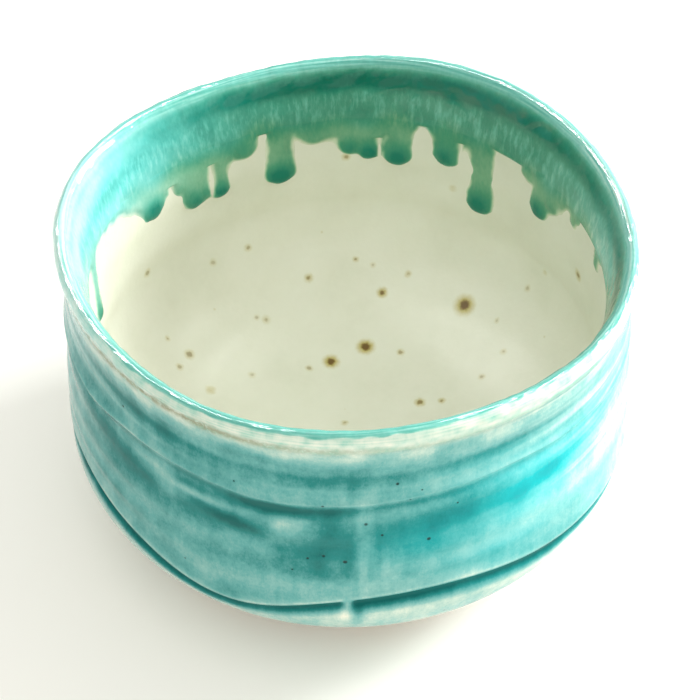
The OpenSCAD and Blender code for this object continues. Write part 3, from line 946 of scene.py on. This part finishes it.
def build_clay(material):
    """The whole clay body. Only the bare belly and underside show."""
    cols = 256
    a = np.arange(cols) * 360 / cols
    under_r = np.linspace(CENTRE_R, RECESS_R, 24)
    under_z = FOOT_H + RECESS_RISE * np.cos(math.pi / 2 * under_r / RECESS_R)
    seat_r = np.linspace(RECESS_R, SEAT_R, 8)[1:]
    belly_z = FOOT_H + (HIP_Z - FOOT_H) * (1 - np.cos(np.radians(np.linspace(0, 60, 40)[1:])))
    wall_z = np.linspace(belly_z[-1], LIP_Z, 20)[1:]
    arc_r, arc_z = lip_arc(0, 180, 9)
    in_r, in_z = inner_section(LIP_Z, 6.0, 12)
    r = np.concatenate([under_r, seat_r, body_r(belly_z), body_r(wall_z), arc_r[1:], in_r[1:]])
    z = np.concatenate([
        under_z, np.full(len(seat_r), FOOT_H), belly_z, wall_z, arc_z[1:], in_z[1:]
    ])
    seat, belly, wall = np.cumsum([len(under_r), len(seat_r), len(belly_z)])
    shown = np.zeros((len(r), 1))
    shown[:wall] = 1
    shown[seat:belly] = 0
    side = np.zeros((len(r), 1))
    side[: wall + len(wall_z)] = 1
    spiral = 0.09 * np.sin(2 * math.pi * (r[:, None] / 2.3 + a / 360))
    turning = shown * spiral * smooth((16 - z[:, None]) / 3)
    points = shaped(r, z, turning - 0.06 + outside_back(z[:, None]) * side, side, a)
    rows = len(r)
    faces = ring_quads(rows, cols).tolist()
    faces.append(list(range(cols))[::-1])
    faces.append(list(range((rows - 1) * cols, rows * cols)))
    return make_piece(
        "clay_body", points.reshape(-1, 3), faces, {}, material,
        ["clay_wall", "clay_belly", "clay_floor"],
    )


def build_foot(material):
    """The attached ring, turned with a tool and worn round at the edges."""
    cols = 384
    a = np.arange(cols) * 360 / cols
    corners = [
        (RECESS_R, FOOT_H), (RECESS_R + 0.7, 3.4), (RECESS_R + 1.4, 1.0), (RECESS_R + 2.6, 0.0),
        (FOOT_R - 2.6, 0.0), (FOOT_R - 1.3, 1.0), (FOOT_R - 0.8, 3.4), (FOOT_R, FOOT_H),
    ]
    r, z = [], []
    for (r0, z0), (r1, z1) in zip(corners, corners[1:] + corners[:1]):
        steps = max(3, int(math.hypot(r1 - r0, z1 - z0) / 0.35))
        share = np.arange(steps) / steps
        r.append(r0 + (r1 - r0) * share)
        z.append(z0 + (z1 - z0) * share)
    r, z = np.concatenate(r), np.concatenate(z)
    for _ in range(2):
        ring = [(np.roll(v, 1) + 2 * v + np.roll(v, -1)) / 4 for v in (r, z)]
        held = (z > FOOT_H - 0.3) | (z < 0.02)
        r, z = np.where(held, r, ring[0]), np.where(held, z, ring[1])
    side = smooth(z / 0.8) * smooth((FOOT_H - z) / 0.8)
    tool = 0.1 * np.sin(2 * math.pi * (z[:, None] / 1.5 + a / 360))
    tool = tool + 0.1 * swirl(a, z[:, None], 91, (1, 9), (5, 20))
    inward = np.where(r > (RECESS_R + FOOT_R) / 2, -1.0, 1.0)[:, None]
    radius = r[:, None] + inward * np.abs(tool) * side[:, None]
    angle = np.radians(a)
    height = np.broadcast_to(z[:, None], radius.shape)
    points = np.stack([radius * np.cos(angle), radius * np.sin(angle), height], axis=-1)
    j = np.arange(cols)
    k = (j + 1) % cols
    last = (len(r) - 1) * cols
    faces = np.concatenate([ring_quads(len(r), cols), np.stack([last + j, last + k, k, j], -1)])
    return make_piece(
        "foot_ring", points.reshape(-1, 3), faces, {}, material, ["foot_ring"]
    )


build_outside(turquoise_glaze())
build_rim(rim_material("rim_glaze", 0.5))
build_runs(rim_material("run_glaze", 0.25))
build_liner(cream_glaze())
build_clay(clay_material("bare_clay", 0.0, 0.0))
build_foot(clay_material("foot_clay", 6.0, 0.08))

# ---------------------------------------------------------------- floor, light and camera


def build_floor():
    mesh = bpy.data.meshes.new("floor")
    size = 3.0
    corners = [(-size, -size, 0), (size, -size, 0), (size, size, 0), (-size, size, 0)]
    mesh.from_pydata(corners, [], [(0, 1, 2, 3)])
    g = Graph("floor_paper")
    shade = g.add(
        "ShaderNodeBsdfPrincipled",
        {"Base Color": (0.82, 0.805, 0.77, 1), "Roughness": 0.9, "Specular IOR Level": 0.0,
         "Emission Color": (1.0, 0.955, 0.86, 1), "Emission Strength": 0.15},
    )
    out = g.add("ShaderNodeOutputMaterial")
    g.tree.links.new(shade.outputs[0], out.inputs["Surface"])
    mesh.materials.append(g.material)
    floor = bpy.data.objects.new("floor", mesh)
    bpy.context.collection.objects.link(floor)


def heading(azimuth, elevation):
    """Unit vector towards a direction given in degrees, azimuth from +X."""
    azimuth, elevation = math.radians(azimuth), math.radians(elevation)
    flat = math.cos(elevation)
    return Vector((flat * math.cos(azimuth), flat * math.sin(azimuth), math.sin(elevation)))


def panel(name, centre, along, size, power, colour, diffuse=True):
    """A rectangular light that faces the bowl's mouth, its long side along a direction.

    centre is in metres from the middle of the mouth. Without diffuse it shows only in gloss.
    """
    light = bpy.data.lights.new(name, "AREA")
    light.shape = "RECTANGLE"
    light.size, light.size_y = size
    light.energy = power
    light.color = colour
    lamp = bpy.data.objects.new(name, light)
    away = centre.normalized()
    side = (along - along.dot(away) * away).normalized()
    turn = Matrix((side, away.cross(side), away)).transposed().to_4x4()
    lamp.matrix_world = Matrix.Translation(Vector((0, 0, BOWL_H * MM)) + centre) @ turn
    lamp.visible_diffuse = diffuse
    bpy.context.collection.objects.link(lamp)
    return lamp


def build_light():
    """Warm room light, brighter from the right and above, with a low window on the right.

    Two slim strips and a pane show only in the gloss, and a fill from the front doesn't.
    """
    world = bpy.data.worlds.new("studio")
    world.use_nodes = True
    tree = world.node_tree
    where = tree.nodes.new("ShaderNodeTexCoord")
    axes = tree.nodes.new("ShaderNodeSeparateXYZ")
    tree.links.new(where.outputs["Generated"], axes.inputs[0])
    total = tree.nodes.new("ShaderNodeMath")
    for index, (axis, start, low, high) in enumerate((("X", -1, 0.5, 0.86), ("Z", 0.45, 0, 0.72))):
        fade = tree.nodes.new("ShaderNodeMapRange")
        for key, value in (("From Min", start), ("To Min", low), ("To Max", high)):
            fade.inputs[key].default_value = value
        tree.links.new(axes.outputs[axis], fade.inputs["Value"])
        tree.links.new(fade.outputs["Result"], total.inputs[index])
    sky = tree.nodes["Background"]
    sky.inputs["Color"].default_value = (1.0, 0.985, 0.945, 1)
    tree.links.new(total.outputs[0], sky.inputs["Strength"])
    bpy.context.scene.world = world
    window_turn = 22
    level = heading(window_turn + 90, 0)
    panel("window", heading(window_turn, 23) * 1.3, level, (0.5, 0.36), 25, (0.95, 0.985, 1.0))
    foot, head = Vector((-0.66, 0.6, 0.45)), Vector((-0.26, 0.0, 0.96))
    middle, along = (foot + head) / 2, head - foot
    across = middle.cross(along).normalized()
    for name, shift in (("slim_left", -0.09), ("slim_right", 0.09)):
        panel(name, middle + across * shift, along, (0.95, 0.06), 11, (1, 1, 1), False)
    panel("pane", Vector((0.44, 0.39, 0.81)), level, (0.3, 0.22), 9, (1, 1, 1), False)
    fill = panel(
        "fill", heading(285, 30) * 1.4, Vector((1, 0, 0)), (0.9, 0.6), 2.1, (1, 0.98, 0.93)
    )
    fill.visible_glossy = False


def build_camera():
    """A long lens at 44 degrees above the table, with the slight roll of a hand-held shot."""
    elevation = math.radians(44.2)
    roll = math.radians(-0.65)
    target = Vector((0.4, -36.8, 76.0)) * MM
    back = Vector((0, -math.cos(elevation), math.sin(elevation)))
    right = Vector((1, 0, 0))
    up = back.cross(right)
    across = right * math.cos(roll) + up * math.sin(roll)
    upward = up * math.cos(roll) - right * math.sin(roll)
    distance = 0.5
    camera = bpy.data.cameras.new("camera")
    camera.lens = 131.5
    camera.sensor_width = 36.0
    camera.clip_start = 0.01
    rig = bpy.data.objects.new("camera", camera)
    turn = Matrix((across, upward, back)).transposed().to_4x4()
    rig.matrix_world = Matrix.Translation(target + back * distance) @ turn
    bpy.context.collection.objects.link(rig)
    bpy.context.scene.camera = rig


build_floor()
build_light()
build_camera()
bpy.context.scene.view_settings.view_transform = "Standard"
